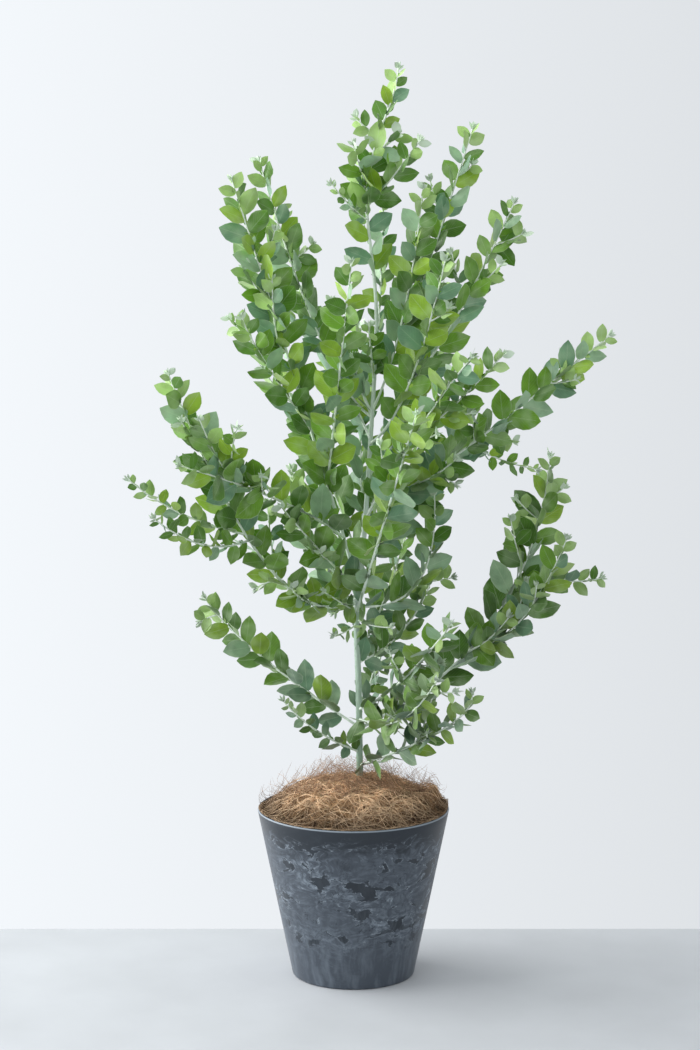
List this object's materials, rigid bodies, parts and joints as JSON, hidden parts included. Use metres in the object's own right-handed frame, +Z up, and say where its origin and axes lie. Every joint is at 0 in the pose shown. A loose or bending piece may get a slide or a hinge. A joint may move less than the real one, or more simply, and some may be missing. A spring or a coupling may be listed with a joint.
{
  "type": "potted pearl acacia",
  "caption": "Young pearl acacia with oval silver-green leaves on a slim branching trunk, growing in a round tapered pot topped with coconut fibre.",
  "frame": {"origin": "middle of the pot's flat underside", "axes": "+Z up along the pot's axis, -Y towards the front of the plant, +X to the right as seen from the front"},
  "size_m": [0.7112, 0.5479, 1.3412],
  "materials": {
    "pot": "slate-grey marbled, satin",
    "soil": "dark, crumbly, dull",
    "fibre": "brown coconut fibre, rough",
    "bark": "smooth pale grey-green bark",
    "leaf": "silver-green, waxy bloom"
  },
  "bodies": {
    "root": {"pot": "pot", "soil": "soil", "fibre": "fibre", "trunk": "bark", "bough_left_low": "bark", "bough_front_right_low": "bark", "bough_right_low": "bark", "bough_front": "bark", "bough_left_long": "bark", "bough_left_stem": "bark", "bough_left_mid": "bark", "bough_left_high": "bark", "bough_right_long": "bark", "bough_front_right": "bark", "bough_right_high_front": "bark", "bough_right_upper": "bark", "bough_back_low": "bark", "bough_back_left_low": "bark", "bough_back_left": "bark", "bough_back_right_low": "bark", "bough_back_middle": "bark", "bough_back_right": "bark", "bough_back_left_high": "bark", "foliage_left_lowest": "leaf", "foliage_left_low": "leaf", "foliage_front_lowest": "leaf", "foliage_front_low": "leaf", "foliage_front_right_low": "leaf", "foliage_right_low": "leaf", "foliage_right_back_short": "leaf", "foliage_right_back": "leaf", "foliage_front": "leaf", "foliage_left_long": "leaf", "foliage_left_short": "leaf", "foliage_left_stem": "leaf", "foliage_left_mid": "leaf", "foliage_inner_front": "leaf", "foliage_left_front": "leaf", "foliage_left_upper": "leaf", "foliage_left_high": "leaf", "foliage_right_long": "leaf", "foliage_front_right": "leaf", "foliage_right_high_front": "leaf", "foliage_right_high": "leaf", "foliage_right_upper": "leaf", "foliage_right_top": "leaf", "foliage_top_right": "leaf", "foliage_top_left": "leaf", "foliage_top_back": "leaf", "foliage_top_front": "leaf", "foliage_leader_tip": "leaf", "foliage_back_lowest": "leaf", "foliage_back_low": "leaf", "foliage_back_left_low": "leaf", "foliage_back_left": "leaf", "foliage_back_right_low": "leaf", "foliage_back_middle": "leaf", "foliage_back_right": "leaf", "foliage_back_left_high": "leaf", "foliage_back_high": "leaf"}
  },
  "joints": []
}
